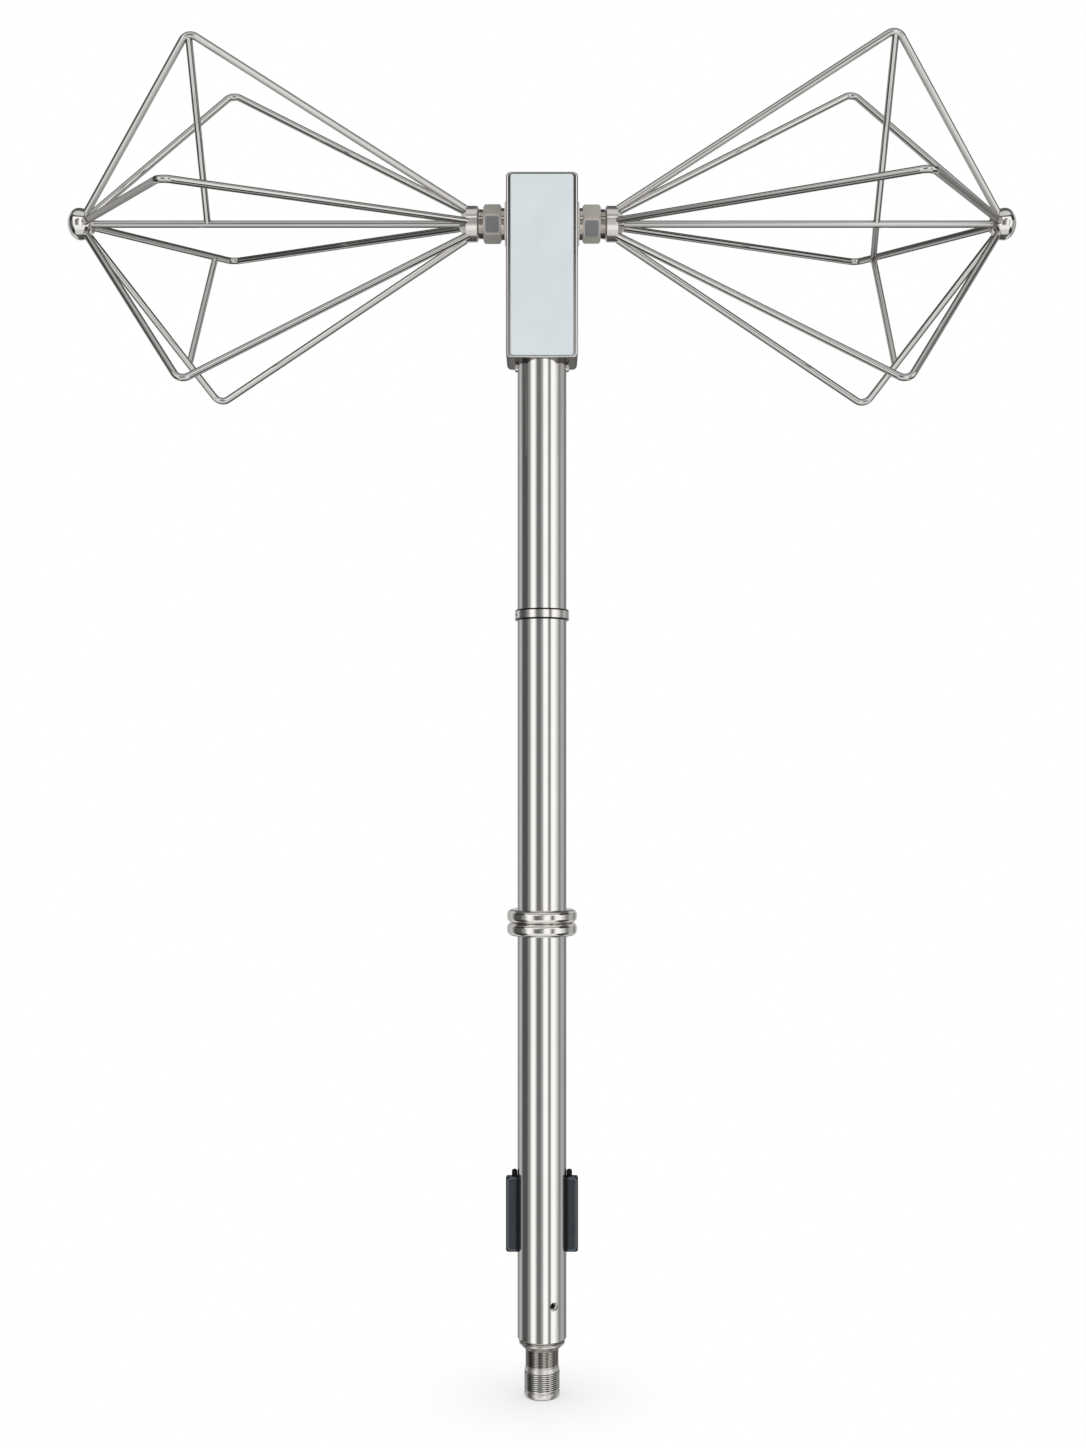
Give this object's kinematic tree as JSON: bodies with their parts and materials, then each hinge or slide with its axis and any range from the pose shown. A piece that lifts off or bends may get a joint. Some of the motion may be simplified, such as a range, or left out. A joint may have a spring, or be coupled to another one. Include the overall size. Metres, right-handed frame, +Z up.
{
  "type": "biconical antenna",
  "caption": "Upright stainless biconical antenna: two wire-cage cones of bent rods on a balun box, on a tubular mast with a coaxial socket at its foot.",
  "frame": {"origin": "on the mast axis at the lower end face of the coaxial socket", "axes": "+Z up the mast, +X along the arms toward the right cage as seen from the front, -Y toward the viewer out of the plate of the balun box"},
  "size_m": [0.4262, 0.1688, 0.6013],
  "materials": {
    "mast_steel": "satin polished stainless tube",
    "collar_steel": "satin turned stainless",
    "turned_steel": "polished turned stainless",
    "nut_steel": "matt bead-blasted stainless",
    "rod_steel": "polished stainless rod",
    "housing_steel": "satin stainless",
    "plate_silver": "bright satin silver",
    "clip_plastic": "dark slate moulded",
    "white_insulation": "white",
    "connector_nickel": "bright nickel plate",
    "gold_contact": "gold plate",
    "tinned_copper": "tinned",
    "black_screw": "black oxide",
    "small_screws": "plain stainless",
    "ferrite": "dark grey fired",
    "plain_aluminium": "as turned"
  },
  "bodies": {
    "root": {"lower_mast_tube": "mast_steel", "upper_mast_tube": "mast_steel", "joint_sleeve": "plain_aluminium", "lower_joint_collar": "collar_steel", "upper_joint_collar": "collar_steel", "index_ring": "collar_steel", "ring_grub_screw": "black_screw", "mast_clip": "clip_plastic", "end_plug": "collar_steel", "foot_grub_screw": "black_screw", "connector_body": "connector_nickel", "connector_insulator": "white_insulation", "connector_contact": "gold_contact", "coax_jacket": "tinned_copper", "coax_dielectric": "white_insulation", "coax_centre_wire": "tinned_copper", "balun_housing": "housing_steel", "front_plate": "plate_silver", "rear_cover": "housing_steel", "rear_cover_screws": "small_screws", "mast_retaining_screws": "small_screws", "ferrite_sleeves": "ferrite", "signal_strap": "tinned_copper", "ground_strap": "tinned_copper", "left_insulator": "white_insulation", "left_feed_stud": "turned_steel", "left_inner_washer": "white_insulation", "left_inner_nut": "turned_steel", "left_lock_nut": "nut_steel", "left_rod_hub": "turned_steel", "left_rod_1": "rod_steel", "left_rod_2": "rod_steel", "left_rod_3": "rod_steel", "left_rod_4": "rod_steel", "left_rod_5": "rod_steel", "left_rod_6": "rod_steel", "left_axial_rod": "rod_steel", "left_end_knob": "turned_steel", "left_upper_brace": "rod_steel", "left_lower_brace": "rod_steel", "right_insulator": "white_insulation", "right_feed_stud": "turned_steel", "right_inner_washer": "white_insulation", "right_inner_nut": "turned_steel", "right_lock_nut": "nut_steel", "right_rod_hub": "turned_steel", "right_rod_1": "rod_steel", "right_rod_2": "rod_steel", "right_rod_3": "rod_steel", "right_rod_4": "rod_steel", "right_rod_5": "rod_steel", "right_rod_6": "rod_steel", "right_axial_rod": "rod_steel", "right_end_knob": "turned_steel", "right_upper_brace": "rod_steel", "right_lower_brace": "rod_steel", "right_middle_brace": "rod_steel"}
  },
  "joints": []
}
